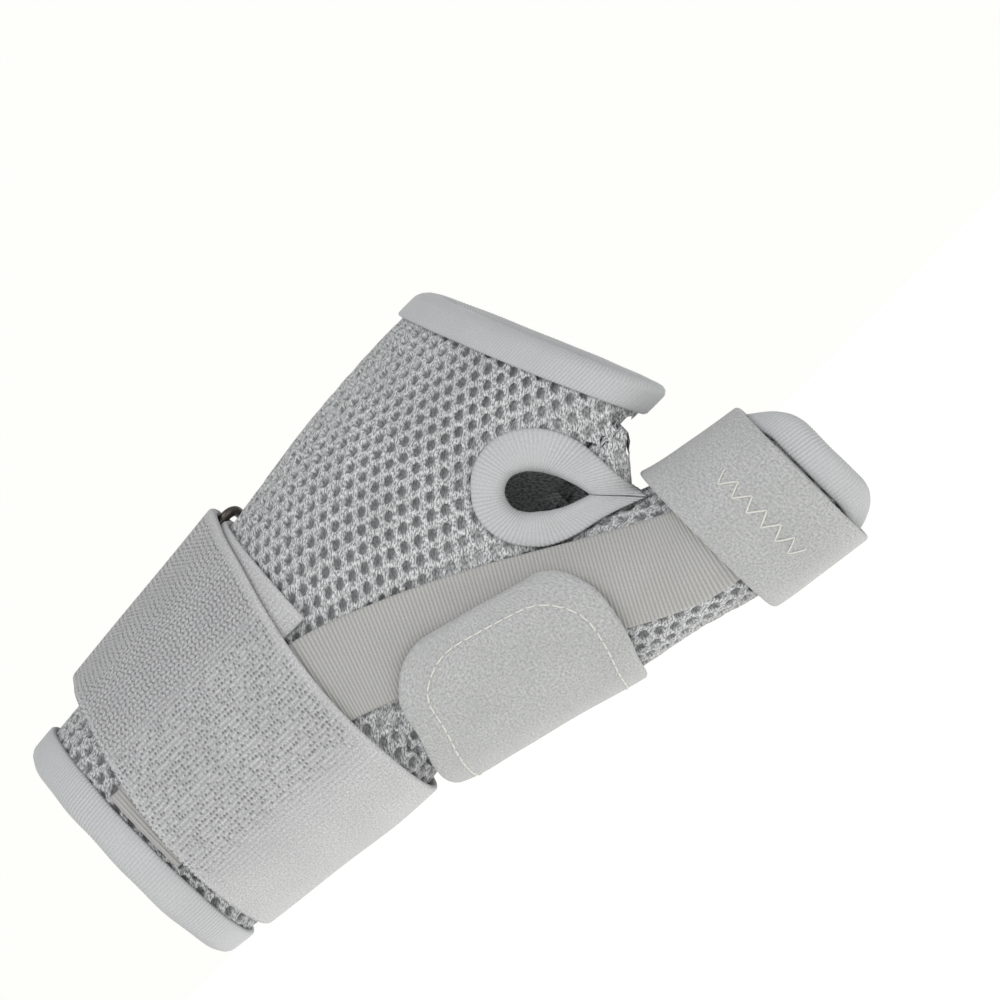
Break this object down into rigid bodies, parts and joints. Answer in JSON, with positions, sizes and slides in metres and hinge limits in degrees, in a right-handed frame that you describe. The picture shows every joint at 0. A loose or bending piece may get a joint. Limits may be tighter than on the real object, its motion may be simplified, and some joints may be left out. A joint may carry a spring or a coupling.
{
  "type": "thumb spica splint",
  "caption": "Grey air-mesh thumb spica splint for a left hand, with a wrist strap, a strap over the base of the thumb and one round the thumb.",
  "frame": {"origin": "middle of the forearm opening, in its plane", "axes": "+X along the forearm to the fingers, +Z out of the back of the wrist, -Y to the thumb side"},
  "size_m": [0.1809, 0.0926, 0.1112],
  "materials": {
    "air_mesh": "matte",
    "binding_tape": "matte",
    "ribbed_tape": "matte",
    "knitted_elastic": "matte",
    "brushed_loop": "matte",
    "ring_steel": "satin"
  },
  "bodies": {
    "root": {"mesh_sleeve": "air_mesh", "forearm_binding": "binding_tape", "palm_binding": "binding_tape", "web_binding": "binding_tape", "thumb_binding": "binding_tape", "stay_pocket": "ribbed_tape", "wrist_strap": "knitted_elastic", "strap_ring": "ring_steel", "ring_tab": "ribbed_tape", "thumb_base_strap": "brushed_loop", "thumb_strap": "brushed_loop"}
  },
  "joints": []
}
